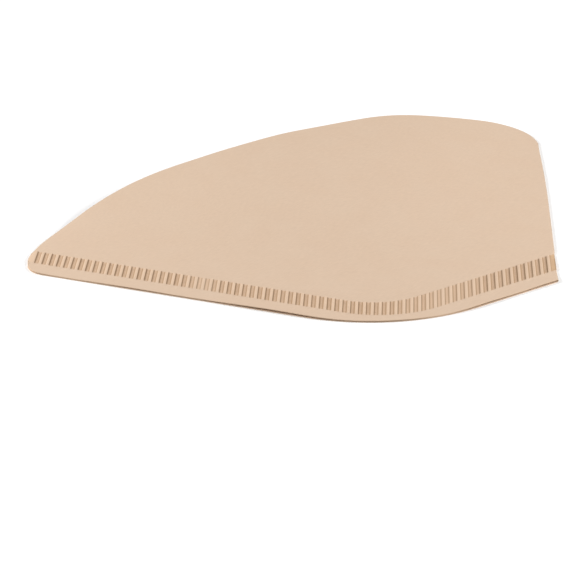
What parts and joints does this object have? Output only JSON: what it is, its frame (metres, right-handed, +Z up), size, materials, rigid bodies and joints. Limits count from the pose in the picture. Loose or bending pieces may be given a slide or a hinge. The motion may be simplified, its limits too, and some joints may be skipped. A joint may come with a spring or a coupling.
{
  "type": "paper coffee filter",
  "caption": "Flat-folded cone coffee filter of unbleached paper: a fold on one side, a crimped seam along the other side and the bottom, and an open curved mouth.",
  "frame": {"origin": "middle of the flat outline, on the surface that the filter lies on", "axes": "+X from the crimped seam side to the folded side, +Y from the crimped bottom to the open mouth, +Z up through the upper ply"},
  "size_m": [0.1674, 0.1094, 0.0068],
  "materials": {
    "filter_paper": "matt, unbleached light brown"
  },
  "bodies": {
    "root": {"paper_filter": "filter_paper"}
  },
  "joints": []
}
